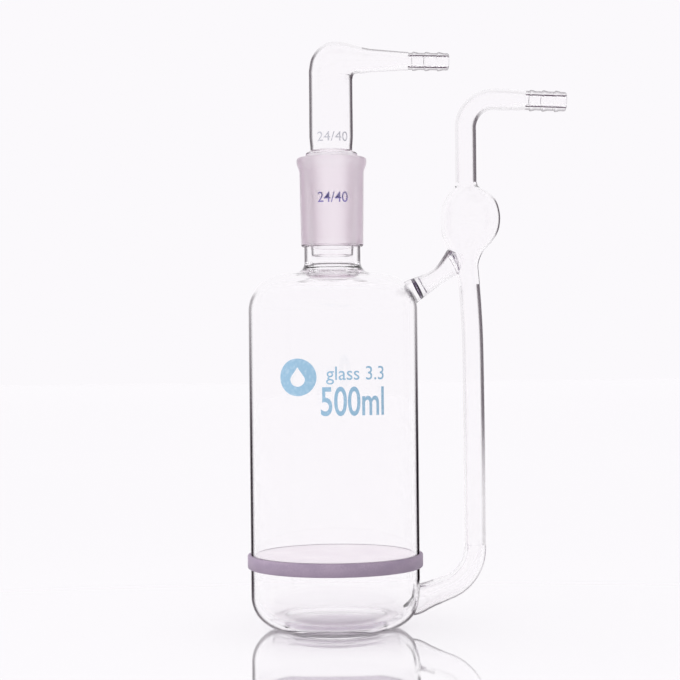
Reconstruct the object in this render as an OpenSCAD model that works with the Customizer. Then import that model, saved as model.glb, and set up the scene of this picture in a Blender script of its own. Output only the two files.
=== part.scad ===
// Gas washing bottle with a sintered glass disc across its base, a gas inlet
// that rises beside the body through a safety bulb, and a ground-joint outlet
// adapter. Millimetres, +Z up. The origin is on the bottle's axis, on the
// surface it stands on. The gas inlet is on the +X side.

/* [Bottle] */
// Outside diameter of the body
body_d = 78.4; // [76:0.2:80]
// Thickness of the body's wall
wall = 2.2; // [1.8:0.1:2.6]
// Height where the straight wall ends and the shoulder begins
shoulder_z = 147; // [143:1:151]
// Radius of the shoulder's outside curve
shoulder_r = 17; // [15:0.5:18]
// Outside diameter of the neck
neck_d = 26; // [25.4:0.2:27]
// Radius of the base's outside corner
corner_r = 12; // [11:0.5:13]
// Rise of the pushed-up middle of the base
push_up = 2.8; // [1.5:0.1:3.5]

/* [Sintered disc] */
// Height of the disc's underside
frit_z = 28.2; // [27:0.2:30]
// Thickness of the disc
frit_t = 6.2; // [5:0.2:7]
// How far the disc's rim stands out past the wall
frit_proud = 1.5; // [0.5:0.1:2]

/* [Ground joint] */
// Bore at the wide end of the ground socket
joint_d = 24; // [24:0.5:25]
// Length of the ground zone, which tapers 1 in 10
joint_l = 40; // [36:1:40]
// Radial play between the ground cone and the socket
joint_gap = 0.08; // [0.04:0.01:0.1]

/* [Gas inlet] */
// Distance of the riser's axis from the bottle's axis
riser_x = 65; // [64:0.5:67]
// Outside diameter of the riser
riser_d = 10; // [9:0.2:10.4]
// Thickness of the inlet tube's wall
tube_wall = 1.4; // [1:0.1:1.6]
// Height of the safety bulb's centre
bulb_z = 189.3; // [188:0.5:192]
// Outside diameter of the safety bulb
bulb_d = 27.6; // [26:0.2:29]
// Radius of the lower bend's centre line
low_bend_r = 21.4; // [20.8:0.2:22]
// Radius of the upper bend's centre line
top_bend_r = 14.3; // [13:0.1:15]

/* [Outlet adapter] */
// Outside diameter of the adapter's tube
adapter_d = 20.3; // [20:0.1:20.6]
// Height of the outlet arm's axis above the bottle's axis foot
arm_z = 263.6; // [262:0.2:265]
// Slope of the outlet arm, down from level
arm_slope = 1.5; // [0:0.5:3]

/* [Hose barbs] */
// Diameter over the outlet barb's ridges
outlet_barb_d = 8.8; // [8.4:0.2:9.2]
// Diameter over the inlet barb's ridges
inlet_barb_d = 9.8; // [9.2:0.2:9.8]
// Distance from one ridge to the next
barb_pitch = 5.8; // [5:0.2:6]
// Bore of both hose barbs
barb_bore = 4; // [3.6:0.2:4.4]

/* [Hidden] */
$fn = 96;
arc_steps = 16;

clear_glass = [0.80, 0.87, 0.90, 0.45];
ground_glass = [0.86, 0.80, 0.86];
sinter_grey = [0.64, 0.58, 0.66];

// Body
body_r = body_d / 2;
inner_r = body_r - wall;
neck_r = neck_d / 2;
neck_wall = wall;
floor_t = 3.2;
foot_in_r = 25.4;
corner_x = body_r - corner_r;
in_corner_r = corner_r - 2.4;
frit_top = frit_z + frit_t;

// Shoulder and neck, one above the other
fillet_r = 5;
shoulder_x = body_r - shoulder_r;
fillet_x = neck_r + fillet_r;
shoulder_end = 84;
neck_z = shoulder_z + shoulder_r + 0.6 + fillet_r;
socket_z = neck_z + 7;
ground_z = socket_z + 1.4;
joint_top = ground_z + joint_l;

// Ground socket
socket_low_r = joint_d / 2 + 2.4;
socket_top_r = joint_d / 2 + 2.9;
rim_r = joint_d / 2 + 4.2;
rim_round = 1.1;
rim_h = 6.6;

// Ground cone: it follows the socket's taper and stands out at both ends
cone_tail = 5.6;
cone_head = 2.4;
cone_low = ground_z - cone_tail;
cone_high = joint_top + cone_head;
adapter_r = adapter_d / 2;
adapter_in_r = adapter_r - 1.45;
tube_z = cone_high + 1;
elbow_z = tube_z + 34.6;
dome_z = elbow_z + 6;

// Outlet arm, measured along its own axis from the bottle's axis
arm_start = 14.5;
arm_end = 36;
arm_r1 = 6.1;
arm_r2 = outlet_barb_d / 2 - 0.1;
arm_bore = 4.6;

// Hose barbs: three ridges, each with a narrow land that grips the hose
ridge_count = 3;
ridge_first = 2.6;
ridge_h = 0.45;
land = 0.8;
barb_l = ridge_first + (ridge_count - 1) * barb_pitch + 4.8;

// Gas inlet
tube_r = riser_d / 2;
tube_bore = tube_r - tube_wall;
low_bend_z = 37.7;
low_bend_x = riser_x - low_bend_r;
low_sweep = 70;
stub_at = [low_bend_x + low_bend_r * cos(low_sweep), low_bend_z - low_bend_r * sin(low_sweep)];
stub_dir = [-sin(low_sweep), -cos(low_sweep)];
stub_l = 12.4;
port_r = 7;
port_bore = 5.2;

bulb_r = bulb_d / 2;
bulb_wall = 1.2;
bulb_x = riser_x - 1;
bulb_low = bulb_z - 31;
bulb_high = bulb_z + 16.7;
top_x = riser_x - 2.6;

elbow_bend_z = 230.2;
elbow_bend_x = top_x + top_bend_r;
inlet_slope = 2.5;
elbow_end = 90 - inlet_slope;
inlet_at = [
    elbow_bend_x + top_bend_r * cos(elbow_end),
    elbow_bend_z + top_bend_r * sin(elbow_end)
];
inlet_arm_l = 13;
inlet_arm_r2 = inlet_barb_d / 2 - 0.2;

// Brace between the shoulder and the bulb's lower neck, as [x, z] points
brace_foot = [body_r - 6, shoulder_z + 6.2];
brace_head = [riser_x - 3, bulb_z - 18.8];
brace_foot_r = 5.5;
brace_waist_r = 3.9;
brace_head_r = 6.4;
brace_bore = 2.6;

// Points along an arc about [x, z], from angle a0 to a1
function arc(x, z, r, a0, a1) = [
    for (i = [0:arc_steps])
        let (a = a0 + (a1 - a0) * i / arc_steps)
        [x + r * cos(a), z + r * sin(a)]
];

// Centre height of the shallow arc that rises by h over a half-width of r
function dome_r(r, h) = (r * r + h * h) / (2 * h);

// Radius of the ground cone at height z
function cone_r(z) = joint_d / 2 - joint_gap - (joint_top - z) / 20;

// A round bar from p to q, both [x, z] points on the XZ plane
module bar(p, q, r1, r2) {
    d = q - p;
    translate([p[0], 0, p[1]])
        rotate([0, atan2(d[0], d[1]), 0])
            cylinder(h = norm(d), r1 = r1, r2 = r2);
}

// A bent round bar on the XZ plane about the point [x, z]
module bent_bar(x, z, bend_r, r, from, sweep) {
    translate([x, 0, z])
        rotate([90, 0, 0])
            rotate([0, 0, from])
                rotate_extrude(angle = sweep)
                    translate([bend_r, 0])
                        circle(r);
}

// A tube standing on the XZ plane's point [x, z]
module upright_tube(x, z, h, r, bore) {
    translate([x, 0, z])
        difference() {
            cylinder(h = h, r = r);
            translate([0, 0, -1]) cylinder(h = h + 2, r = bore);
        }
}

// Outside of the base as a filled shape, which the inlet's stub is cut to
module base_shape() {
    rotate_extrude()
        polygon(concat(
            [[0, frit_z], [0, 0], [corner_x, 0]],
            arc(corner_x, corner_r, corner_r, -90, 0),
            [[body_r, frit_z]]
        ));
}

// Outside of the shoulder as a filled shape, which the brace is cut to
module shoulder_shape() {
    rotate_extrude()
        polygon(concat(
            [[0, shoulder_z - 20], [body_r, shoulder_z - 20]],
            arc(shoulder_x, shoulder_z, shoulder_r, 0, shoulder_end),
            [[0, shoulder_z + shoulder_r]]
        ));
}

// Outside of the bulb and its two necks as a filled shape
module bulb_shape(shrink = 0) {
    translate([bulb_x, 0, bulb_z]) sphere(r = bulb_r - shrink);
    translate([riser_x, 0, bulb_low]) cylinder(h = 14, r = tube_r - shrink);
    translate([riser_x, 0, bulb_z - 22])
        cylinder(h = 12, r1 = tube_r - shrink, r2 = tube_r + 4 - shrink);
    translate([top_x, 0, bulb_z + 9])
        cylinder(h = 5, r1 = tube_r + 3 - shrink, r2 = tube_r - shrink);
    translate([top_x, 0, bulb_z + 8])
        cylinder(h = bulb_high - bulb_z - 8, r = tube_r - shrink);
}

module base_cup() {
    under_r = dome_r(foot_in_r, push_up);
    under_z = push_up - under_r;
    under_a = asin(foot_in_r / under_r);
    top_r = under_r + floor_t;
    color(clear_glass)
        difference() {
            rotate_extrude()
                polygon(concat(
                    arc(0, under_z, under_r, 90, 90 - under_a),
                    arc(corner_x, corner_r, corner_r, -90, 0),
                    [[body_r, frit_z], [inner_r, frit_z]],
                    arc(inner_r - in_corner_r, floor_t + in_corner_r, in_corner_r, 0, -90),
                    arc(0, under_z, top_r, 90 - under_a + 1, 90)
                ));
            bar(stub_at + stub_dir * (stub_l - 4), stub_at + stub_dir * (stub_l + 12),
                port_bore, port_bore);
        }
}

module frit_disc() {
    edge = 0.7;
    rim = body_r + frit_proud;
    color(sinter_grey)
        rotate_extrude()
            polygon([
                [0, frit_z], [rim - edge, frit_z], [rim, frit_z + edge],
                [rim, frit_top - edge], [rim - edge, frit_top], [0, frit_top]
            ]);
}

module reservoir() {
    in_shoulder_r = shoulder_r - wall;
    color(clear_glass)
        rotate_extrude()
            polygon(concat(
                [[inner_r, frit_top], [body_r, frit_top]],
                arc(shoulder_x, shoulder_z, shoulder_r, 0, shoulder_end),
                arc(fillet_x, neck_z, fillet_r, 270, 180),
                arc(fillet_x, neck_z, fillet_r + neck_wall, 180, 270),
                arc(shoulder_x, shoulder_z, in_shoulder_r, shoulder_end, 0)
            ));
}

module neck_tube() {
    color(clear_glass)
        upright_tube(0, neck_z, socket_z - neck_z, neck_r, neck_r - neck_wall);
}

module ground_socket() {
    top_r = joint_d / 2;
    low_r = top_r - joint_l / 20;
    color(ground_glass)
        rotate_extrude()
            polygon(concat(
                [
                    [neck_r - neck_wall, socket_z], [socket_low_r - 1, socket_z],
                    [socket_low_r, socket_z + 1], [socket_top_r, joint_top - rim_h],
                    [rim_r, joint_top - 2.8]
                ],
                arc(rim_r - rim_round, joint_top - rim_round, rim_round, 0, 90),
                [[top_r, joint_top], [low_r, ground_z]]
            ));
}

// The flared mouth that seals the inlet into the base
module gas_port() {
    mouth = stub_at + stub_dir * (stub_l + 4);
    grow = (port_r - tube_r) * (stub_l + 4) / stub_l;
    color(clear_glass)
        difference() {
            bar(stub_at, mouth, tube_r, tube_r + grow);
            bar(stub_at, mouth, tube_bore, port_bore + 0.3);
            base_shape();
        }
}

module inlet_bend() {
    color(clear_glass)
        difference() {
            bent_bar(low_bend_x, low_bend_z, low_bend_r, tube_r, -low_sweep, low_sweep);
            bent_bar(low_bend_x, low_bend_z, low_bend_r, tube_bore, -low_sweep, low_sweep);
        }
}

module riser_tube() {
    color(clear_glass)
        upright_tube(riser_x, low_bend_z, bulb_low - low_bend_z, tube_r, tube_bore);
}

module safety_bulb() {
    color(clear_glass)
        difference() {
            bulb_shape();
            bulb_shape(bulb_wall);
            translate([riser_x, 0, bulb_low - 1]) cylinder(h = 9, r = tube_bore);
            translate([top_x, 0, bulb_high - 8]) cylinder(h = 9, r = tube_bore);
        }
}

module inlet_tube() {
    color(clear_glass)
        upright_tube(top_x, bulb_high, elbow_bend_z - bulb_high, tube_r, tube_bore);
}

// Puts its children's +Z along the inlet arm, starting where the bend ends
module along_inlet() {
    translate([inlet_at[0], 0, inlet_at[1]])
        rotate([0, 90 + inlet_slope, 0])
            children();
}

module inlet_elbow() {
    sweep = 180 - elbow_end;
    color(clear_glass)
        difference() {
            bent_bar(elbow_bend_x, elbow_bend_z, top_bend_r, tube_r, elbow_end, sweep);
            bent_bar(elbow_bend_x, elbow_bend_z, top_bend_r, tube_bore, elbow_end, sweep);
        }
}

// The level end of the inlet tube, which tapers outside and inside to the barb
module inlet_arm() {
    narrow_l = 5;
    color(clear_glass)
        along_inlet()
            rotate_extrude()
                polygon([
                    [tube_bore, 0], [tube_r, 0],
                    [inlet_arm_r2, inlet_arm_l], [barb_bore / 2, inlet_arm_l],
                    [tube_bore, inlet_arm_l - narrow_l]
                ]);
}

// A hose barb along +Z, from its seal at the origin to its open tip
module barb(crest_r) {
    root_r = crest_r - ridge_h;
    bore_r = barb_bore / 2;
    ridges = [
        for (i = [0:ridge_count - 1])
            let (z = ridge_first + i * barb_pitch)
            each [
                [root_r, z - land / 2 - 0.5], [crest_r, z - land / 2],
                [crest_r, z + land / 2], [root_r, z + land / 2 + 1.6]
            ]
    ];
    rotate_extrude()
        polygon(concat(
            [[bore_r, 0], [root_r, 0]],
            ridges,
            [[root_r, barb_l - 1], [root_r - 0.7, barb_l], [bore_r, barb_l]]
        ));
}

module inlet_barb() {
    color(clear_glass)
        along_inlet()
            translate([0, 0, inlet_arm_l])
                barb(inlet_barb_d / 2);
}

// Radius of the brace at the fraction t of its length, narrow in the middle
function brace_r(t) =
    brace_waist_r + (t < 0.5 ? brace_foot_r - brace_waist_r : brace_head_r - brace_waist_r)
        * pow(2 * abs(t - 0.5), 2);

module brace() {
    d = brace_head - brace_foot;
    length = norm(d);
    steps = 10;
    color(clear_glass)
        difference() {
            translate([brace_foot[0], 0, brace_foot[1]])
                rotate([0, atan2(d[0], d[1]), 0])
                    rotate_extrude()
                        polygon(concat(
                            [[brace_bore, length], [brace_bore, 0]],
                            [for (i = [0:steps]) [brace_r(i / steps), length * i / steps]]
                        ));
            shoulder_shape();
            bulb_shape();
        }
}

module adapter_cone() {
    color(ground_glass)
        rotate_extrude()
            polygon([
                [cone_r(cone_low) - 1.6, cone_low], [cone_r(cone_low), cone_low],
                [cone_r(cone_high), cone_high], [cone_r(cone_high) - 0.5, cone_high + 0.7],
                [adapter_r - 0.3, tube_z], [adapter_in_r, tube_z],
                [adapter_in_r, joint_top]
            ]);
}

module adapter_tube() {
    color(clear_glass)
        rotate_extrude()
            polygon([
                [adapter_in_r, tube_z], [adapter_r - 0.4, tube_z],
                [adapter_r - 0.4, tube_z + 2], [adapter_r, tube_z + 6],
                [adapter_r, elbow_z], [adapter_in_r, elbow_z]
            ]);
}

// Puts its children's +Z along the outlet arm, starting on the bottle's axis
module along_outlet() {
    translate([0, 0, arm_z])
        rotate([0, 90 + arm_slope, 0])
            children();
}

// A short tube that ends in a round dome, as a filled shape of radius r
module domed_end(r) {
    rotate_extrude()
        polygon(concat([[0, elbow_z], [r, elbow_z]], arc(0, dome_z, r, 0, 90)));
}

module adapter_elbow() {
    color(clear_glass)
        difference() {
            union() {
                domed_end(adapter_r);
                along_outlet() cylinder(h = arm_start, r1 = arm_r1 + 0.8, r2 = arm_r1);
            }
            domed_end(adapter_in_r);
            along_outlet() cylinder(h = arm_start, r = arm_bore);
        }
}

module adapter_arm() {
    length = arm_end - arm_start;
    color(clear_glass)
        along_outlet()
            translate([0, 0, arm_start])
                difference() {
                    cylinder(h = length, r1 = arm_r1, r2 = arm_r2);
                    cylinder(h = length, r1 = arm_bore, r2 = barb_bore / 2);
                }
}

module adapter_barb() {
    color(clear_glass)
        along_outlet()
            translate([0, 0, arm_end])
                barb(outlet_barb_d / 2);
}

reservoir();
base_cup();
frit_disc();
neck_tube();
ground_socket();
gas_port();
inlet_bend();
riser_tube();
safety_bulb();
inlet_tube();
inlet_elbow();
inlet_arm();
inlet_barb();
brace();
adapter_cone();
adapter_tube();
adapter_elbow();
adapter_arm();
adapter_barb();
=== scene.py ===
# %% [markdown]
# # A gas washing bottle
# The object is laboratory glass: a half-litre bottle with a sintered glass
# disc fused across its base, a gas inlet that climbs beside it through a
# safety bulb, and an outlet adapter that sits in a ground joint on the neck.
# A glassblower makes it from tubes, so nearly every piece here is either a
# half-section turned about an axis, or a ring drawn along a path.

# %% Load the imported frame
import math

import bmesh
import bpy
from mathutils import Matrix, Vector


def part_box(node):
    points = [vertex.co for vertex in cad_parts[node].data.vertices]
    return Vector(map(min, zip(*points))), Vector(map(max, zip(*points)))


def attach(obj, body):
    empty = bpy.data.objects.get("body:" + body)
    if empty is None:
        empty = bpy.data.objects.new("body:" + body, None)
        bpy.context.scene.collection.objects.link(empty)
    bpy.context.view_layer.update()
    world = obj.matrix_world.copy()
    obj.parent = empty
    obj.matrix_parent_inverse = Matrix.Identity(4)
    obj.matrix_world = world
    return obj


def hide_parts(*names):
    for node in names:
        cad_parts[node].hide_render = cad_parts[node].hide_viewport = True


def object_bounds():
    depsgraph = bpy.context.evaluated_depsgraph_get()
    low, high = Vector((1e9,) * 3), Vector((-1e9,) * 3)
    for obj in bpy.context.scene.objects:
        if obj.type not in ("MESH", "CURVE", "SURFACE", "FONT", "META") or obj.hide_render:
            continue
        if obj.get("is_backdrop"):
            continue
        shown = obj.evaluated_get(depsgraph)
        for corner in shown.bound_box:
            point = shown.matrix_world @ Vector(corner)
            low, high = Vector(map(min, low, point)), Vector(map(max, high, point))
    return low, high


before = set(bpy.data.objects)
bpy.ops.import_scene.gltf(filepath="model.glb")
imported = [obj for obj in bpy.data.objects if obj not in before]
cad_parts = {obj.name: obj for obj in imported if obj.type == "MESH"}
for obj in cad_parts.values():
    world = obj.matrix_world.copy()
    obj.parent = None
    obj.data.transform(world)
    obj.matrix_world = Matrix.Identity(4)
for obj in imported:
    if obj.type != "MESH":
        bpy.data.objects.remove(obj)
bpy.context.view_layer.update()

# %% [markdown]
# ## Sizes
# Every outside size is read from the CAD frame, so the pieces fall into
# place with no fitting. A glassblower's drawing is in millimetres, so the
# sections below are too, and each finished piece is scaled to metres once.

# %% Sizes from the frame, in millimetres
MM = 0.001


def span(node):
    """A CAD node's lowest and highest corners, in millimetres."""
    low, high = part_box(node)
    return low / MM, high / MM


body_r = span("reservoir")[1].x
disc_low, disc_high = span("frit_disc")
neck_low, neck_high = span("neck_tube")
socket_low, socket_high = span("ground_socket")
cone_low, cone_high = span("adapter_cone")
tube_low, tube_high = span("adapter_tube")
riser_low, riser_high = span("riser_tube")
bulb_low, bulb_high = span("safety_bulb")
top_low, top_high = span("inlet_tube")
riser_x = (riser_low.x + riser_high.x) / 2
top_x = (top_low.x + top_high.x) / 2
tube_r = (riser_high.x - riser_low.x) / 2
print("body radius", round(body_r, 2), "riser at x", round(riser_x, 2))

# %% [markdown]
# ## Node trees in short
# A material is a small graph. This helper adds one node, sets its options,
# and either sets or links each input, so that a finish reads like a recipe.

# %% A helper for node trees
def put(tree, kind, inputs=None, **options):
    """Adds a node. An input that is another node's output gets a link."""
    node = tree.nodes.new(kind)
    for option, value in options.items():
        setattr(node, option, value)
    for name, value in (inputs or {}).items():
        if isinstance(value, bpy.types.NodeSocket):
            tree.links.new(value, node.inputs[name])
        else:
            node.inputs[name].default_value = value
    return node


def new_finish(name, colour, roughness=0.0, **sockets):
    """A material with one Principled shader, and that shader."""
    material = bpy.data.materials.new(name)
    material.use_nodes = True
    shader = material.node_tree.nodes["Principled BSDF"]
    shader.inputs["Base Color"].default_value = (*colour, 1)
    shader.inputs["Roughness"].default_value = roughness
    for socket, value in sockets.items():
        shader.inputs[socket.replace("_", " ")].default_value = value
    return material, material.node_tree, shader


def grain(tree, scale, stretch=(1, 1, 1), detail=2.0):
    """Noise in the piece's own coordinates, stretched along the axes."""
    place = put(tree, "ShaderNodeTexCoord").outputs["Object"]
    turned = put(tree, "ShaderNodeMapping", {"Vector": place, "Scale": stretch})
    return put(
        tree, "ShaderNodeTexNoise",
        {"Vector": turned.outputs[0], "Scale": scale, "Detail": detail},
    ).outputs["Fac"]


def raise_by(tree, height, distance, strength):
    """The normal of a surface that height lifts by up to distance."""
    return put(
        tree, "ShaderNodeBump",
        {"Height": height, "Distance": distance, "Strength": strength},
    ).outputs["Normal"]


def ramp(tree, value, start, end, low=0.0, high=1.0, smooth=True):
    """Value spread from low to high as it goes from start to end."""
    return put(
        tree, "ShaderNodeMapRange",
        {"Value": value, "From Min": start, "From Max": end,
         "To Min": low, "To Max": high},
        interpolation_type="SMOOTHSTEP" if smooth else "LINEAR",
    ).outputs["Result"]


def mix_colour(tree, share, first, second):
    """First colour where share is 0, second where it is 1."""
    return put(
        tree, "ShaderNodeMix",
        {"Factor": share, 6: first, 7: second}, data_type="RGBA",
    ).outputs[2]


def times(tree, first, second):
    """The product of two values."""
    return put(
        tree, "ShaderNodeMath", {0: first, 1: second}, operation="MULTIPLY"
    ).outputs[0]


# %% [markdown]
# ## Clear glass
# In front of a white wall, clear glass all but disappears. What the eye
# sees is the dark line along each edge, where the surface turns away and
# bends the light in from the unlit parts of the room. The room here is
# white all round, so that line is painted shade. One Principled shader
# carries both: it transmits where it faces the viewer, and Layer Weight
# fades it to a dark purple-grey metal where it turns edge-on. The painted
# line is made stronger on faces towards one side and one end than the
# other, and on some tubes weaker above or below a height, for a room that
# is darker on one side. The width of that line differs from tube to tube,
# so it is a setting of the finish. A very slight lengthwise waviness,
# which drawn tube always has, keeps the lines from looking ruled.

# %% The clear glass finishes
GLASS_IOR = 1.474
CLEAR = (0.995, 0.990, 0.994, 1)
PAINTED_EDGE_SHADE = (0.085, 0.062, 0.080, 1)
WAVINESS = 0.05
# Round the bottle from the port, distance counts for less than along it
MOUTH_SHAPE = (1, 0.45, 1)


def edge_glass(name, full_at, none_at, sides=(1, 1), ends=(0.3, 0.15),
               line=(0.12, 0.5), fade=None, inside=False, edge=PAINTED_EDGE_SHADE,
               opening=None, turn=(0.3, 0.8), rough=0.0):
    """Clear glass that darkens between two cosines of the viewing angle.

    The dark line is painted shade. sides is the share of the painted line
    on faces towards -X and +X, and ends the share on faces towards -Z and
    +Z, so one side and one end of a tube are painted darker. turn is how
    far a face tips up or down where it stops being a side and becomes an
    end. line is the cosine where the very edge pales again, and its share
    there. fade is the height where the painted line has only a share, the
    height where it is full, and that share. inside is for a wall seen
    through its own glass. edge is the colour of the painted line. opening
    is a place, and the distances from it where the line starts and is full
    again, for a wall that opens there.
    """
    material, tree, shader = new_finish(
        name, CLEAR[:3], rough, IOR=GLASS_IOR, Transmission_Weight=1.0)
    normal = raise_by(tree, grain(tree, 70, (1, 1, 0.12)), 0.0006, WAVINESS)
    facing = put(
        tree, "ShaderNodeLayerWeight", {"Blend": 0.5, "Normal": normal}
    ).outputs["Facing"]
    share = times(tree, ramp(tree, facing, 1 - none_at, 1 - full_at),
                  ramp(tree, facing, 1 - line[0], 1, 1, line[1]))
    surface = put(tree, "ShaderNodeNewGeometry")
    behind = surface.outputs["Backfacing"]
    if inside:
        share = times(tree, share, behind)
    else:
        share = times(tree, share, ramp(tree, behind, 0, 1, 1, 0))
        looks = put(tree, "ShaderNodeSeparateXYZ", {0: surface.outputs["Normal"]})
        # Painted shade: the line is stronger on faces towards one side and one end, as
        # though the room were darker there.
        side = ramp(tree, looks.outputs["X"], -0.5, 0.5, *sides)
        end = ramp(tree, looks.outputs["Z"], -0.5, 0.5, *ends)
        steep = put(tree, "ShaderNodeMath", {0: looks.outputs["Z"]},
                    operation="ABSOLUTE").outputs[0]
        side_shade = put(tree, "ShaderNodeMix", {
            "Factor": ramp(tree, steep, *turn), 2: side, 3: end}).outputs[0]
        share = times(tree, share, side_shade)
    # Painted shade: above or below a given height the line has only a share.
    if fade:
        place = put(tree, "ShaderNodeTexCoord").outputs["Object"]
        height = put(tree, "ShaderNodeSeparateXYZ", {0: place}).outputs["Z"]
        share = times(tree, share, ramp(tree, height, *fade, 1))
    if opening:
        place = put(tree, "ShaderNodeTexCoord").outputs["Object"]
        flat = put(tree, "ShaderNodeMapping", {"Vector": place, "Scale": MOUTH_SHAPE})
        away = put(tree, "ShaderNodeVectorMath", {0: flat.outputs[0], 1: opening[0]},
                   operation="DISTANCE").outputs["Value"]
        share = times(tree, share, ramp(tree, away, *opening[1:]))
    tint = mix_colour(tree, share, CLEAR, edge)
    tree.links.new(share, shader.inputs["Metallic"])
    tree.links.new(tint, shader.inputs["Base Color"])
    tree.links.new(tint, shader.inputs["Specular Tint"])
    tree.links.new(normal, shader.inputs["Normal"])
    return material


# The middle of the port's mouth, and from where to where the line returns
MOUTH_AT = ((0.040, 0, 0.0145), 0.0066, 0.0092)
# Each clear finish below sets its tube's painted edge shade: how wide, how strong towards
# each side and end, and where it fades.
body_glass = edge_glass("clear_glass_body", 0.20, 0.34, (0.95, 1), (0.05, 0.04),
                        (0.13, 0.55), (0.17, 0.08, 0.62), opening=MOUTH_AT,
                        turn=(0.32, 0.62))
cup_glass = edge_glass("clear_glass_cup", 0.20, 0.34, (0.95, 1), (0.85, 0.05),
                       (0.13, 0.7), (0.002, 0.024, 0.80), opening=MOUTH_AT,
                       turn=(0.5, 0.95))
corner_glass = edge_glass("clear_glass_corner", 0.20, 0.36, inside=True,
                          line=(0.03, 0.8), opening=MOUTH_AT)
seam_glass = edge_glass("clear_glass_seam", 0.10, 0.45, inside=True,
                        edge=(0.42, 0.36, 0.41, 1))
mouth_glass = edge_glass("clear_glass_mouth", 0.35, 0.65, (0.2, 0.5), (0.75, 0.5),
                         (0.1, 0.5))
adapter_glass = edge_glass("clear_glass_adapter", 0.42, 0.60, (0.80, 0.86),
                           (0.35, 0.12), (0.26, 0.25))
outlet_glass = edge_glass("clear_glass_outlet", 0.40, 0.62, (0.3, 0.3),
                          (0.25, 0.55), (0.2, 0.3))
tube_glass = edge_glass("clear_glass_tube", 0.66, 0.84, (0.16, 0.88),
                        (0.22, 0.06), (0.42, 0.12), (0.055, 0.105, 0.40))
bulb_glass = edge_glass("clear_glass_bulb", 0.26, 0.42, (0.04, 0.85), (0.1, 0.06),
                        (0.16, 0.4))
brace_glass = edge_glass("clear_glass_brace", 0.58, 0.84, (0.95, 0.25),
                         (0.10, 0.15), (0.1, 0.7))
barb_glass = edge_glass("clear_glass_barb", 0.42, 0.82, (0.5, 0.5), (0.55, 0.55),
                        (0.12, 0.7))
step_glass = edge_glass("clear_glass_step", 0.35, 0.75, (0.8, 0.8), (0.6, 0.2))
neck_glass = edge_glass("clear_glass_neck", 0.36, 0.54, (0.72, 0.76), (0.2, 0.15),
                        (0.12, 0.5))
bead_glass = edge_glass("clear_glass_bead", 0.42, 0.74, inside=True)
weld_glass = edge_glass("clear_glass_weld", 0.90, 0.995, inside=True,
                        line=(0.01, 1), edge=(0.13, 0.10, 0.155, 1))
bore_glass = edge_glass("clear_glass_bore", 0.50, 0.78, inside=True,
                        edge=(0.19, 0.14, 0.185, 1))
bend_glass = edge_glass("clear_glass_bend", 0.35, 0.60, (0.12, 0.38), (0.62, 0.06),
                        (0.2, 0.4))
print("clear finishes:", len(bpy.data.materials))

# %% [markdown]
# ## Inner walls and seals
# A tube's inner wall must not draw a second dark line just inside the
# first, so it gets plain glass. Where two pieces are flame-sealed, the glass
# runs on without a surface. Each piece is still a closed solid, so the flat
# end faces that meet there get a finish with no alpha: light goes through
# as though they were not there.

# %% Inner wall and sealed faces
inner_glass, tree, shader = new_finish(
    "clear_glass_inner", CLEAR[:3], IOR=GLASS_IOR, Transmission_Weight=1.0)
tree.links.new(
    raise_by(tree, grain(tree, 60, (1, 1, 0.1)), 0.0005, 0.05),
    shader.inputs["Normal"])
sealed_glass, _, _ = new_finish(
    "clear_glass_sealed", (1, 1, 1), IOR=GLASS_IOR, Alpha=0.0)

# %% [markdown]
# ## Ground glass
# The joint's two tapers are ground with fine grit, so they scatter light
# and look mauve-grey and milky. Towards the sides, where the taper turns
# away, the colour is painted deeper and given a share of dark metal: that
# is painted shade. A fine grain in the roughness and the bump gives the
# sandy look, and faint rings show how the joint was turned against the
# grinding tool.

# %% The ground glass finish
# skin is how much dark metal the painted shade at the sides takes on.
def ground_finish(name, clear, deep, rough, shade_from, shade_to, skin):
    material, tree, shader = new_finish(
        name, clear[:3], rough, IOR=GLASS_IOR, Transmission_Weight=1.0)
    # Painted shade: towards the sides, where the surface turns from the viewer, the colour
    # deepens and turns to dark metal.
    facing = put(
        tree, "ShaderNodeLayerWeight", {"Blend": 0.5}).outputs["Facing"]
    share = ramp(tree, facing, shade_from, shade_to)
    tint = mix_colour(tree, share, clear, deep)
    sand = grain(tree, 2600, detail=3)
    rings = grain(tree, 900, (0.15, 0.15, 1.4), detail=1)
    both = times(tree, sand, rings)
    tree.links.new(tint, shader.inputs["Base Color"])
    tree.links.new(
        times(tree, share, skin), shader.inputs["Metallic"])
    tree.links.new(
        ramp(tree, sand, 0.3, 0.7, rough - 0.08, rough + 0.08),
        shader.inputs["Roughness"])
    tree.links.new(
        raise_by(tree, both, 0.00012, 0.35), shader.inputs["Normal"])
    return material


ground_inner = ground_finish(
    "ground_glass_socket", (0.945, 0.90, 0.93, 1), (0.57, 0.445, 0.535, 1),
    0.42, 0.24, 0.40, 0.75)
ground_outer = ground_finish(
    "ground_glass_cone", (0.97, 0.945, 0.96, 1), (0.70, 0.62, 0.68, 1),
    0.42, 0.45, 0.85, 0.3)

# %% [markdown]
# ## Sintered glass
# The disc is glass powder baked until the grains just join. Its upper face
# is white and sandy, and its underside is painted greyer, as shade. Its rim,
# which was melted into the wall all round, is denser and mauve-grey, and is
# painted darker towards its lower edge, as shade. All three are solid to
# the eye, so the finishes are rough and opaque, and the light that real
# grains pass on is left to the colour.

# %% The sintered finishes
# The colour of the painted shade at the rim's lower edge
RIM_SHADE = (0.20, 0.155, 0.215, 1)


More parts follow.
